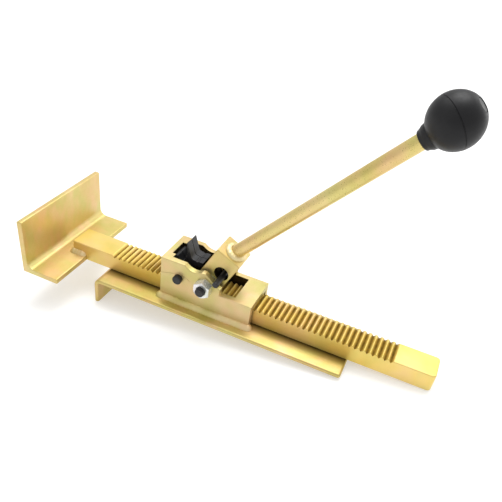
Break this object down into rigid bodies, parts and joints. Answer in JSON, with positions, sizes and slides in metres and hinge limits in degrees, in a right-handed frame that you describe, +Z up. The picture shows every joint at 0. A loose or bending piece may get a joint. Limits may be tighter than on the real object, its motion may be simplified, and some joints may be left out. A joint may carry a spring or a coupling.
{
  "type": "ratchet floor jack",
  "caption": "Lever-driven ratchet jack: hooked base plate, notched rack bar with a wide pusher angle, pawl housing and ball-knob handle.",
  "frame": {"origin": "centre of the base plate's underside", "axes": "+X along the rack bar from the pusher to the bar's free end, +Z up from the base plate, +Y to the far side"},
  "size_m": [0.437, 0.137, 0.2994],
  "materials": {
    "gold_zinc": "yellow zinc passivate, satin",
    "weld_gold": "weld bead under yellow zinc passivate",
    "rack_gold": "yellow zinc passivate on drawn bar, satin",
    "black_oxide": "black oxide, satin",
    "bright_zinc": "bright zinc",
    "spring_steel": "oiled spring steel",
    "knob_black": "black phenolic, satin gloss",
    "insert_brass": "machined"
  },
  "bodies": {
    "base": {"base_plate": "gold_zinc", "ratchet_housing": "gold_zinc", "housing_welds": "weld_gold", "pivot_bolt": "black_oxide", "pivot_nut": "bright_zinc", "pivot_washers": "bright_zinc", "hold_pawl_pin": "black_oxide", "hold_pawl_spacer": "bright_zinc", "hold_pawl_spring": "spring_steel"},
    "rack": {"rack_bar": "rack_gold", "pusher_angle": "gold_zinc", "pusher_welds": "weld_gold"},
    "lever": {"lever_block": "gold_zinc", "handle_rod": "gold_zinc", "handle_weld": "weld_gold", "knob": "knob_black", "knob_plug": "knob_black", "knob_insert": "insert_brass", "drive_pawl_pin": "black_oxide", "drive_pawl_spring": "spring_steel"},
    "drive_pawl": {"drive_pawl": "black_oxide", "release_pin": "black_oxide"},
    "hold_pawls": {"hold_pawl_near": "black_oxide", "hold_pawl_far": "black_oxide"}
  },
  "joints": [
    {"name": "bar_slide", "type": "slide", "parent": "base", "child": "rack", "axis": [1, 0, 0], "range_m": [-0.192, 0.072]},
    {"name": "lever_swing", "type": "hinge", "parent": "base", "child": "lever", "pos_m": [-0.0155, 0, 0.0385], "axis": [0, 1, 0], "range_deg": [0, 22.5]},
    {"name": "drive_pawl_swing", "type": "hinge", "parent": "lever", "child": "drive_pawl", "pos_m": [-0.0061, 0, 0.0345], "axis": [0, 1, 0], "range_deg": [-15, 0]},
    {"name": "hold_pawl_swing", "type": "hinge", "parent": "base", "child": "hold_pawls", "pos_m": [-0.046, 0, 0.036], "axis": [0, 1, 0], "range_deg": [-8, 0]}
  ]
}
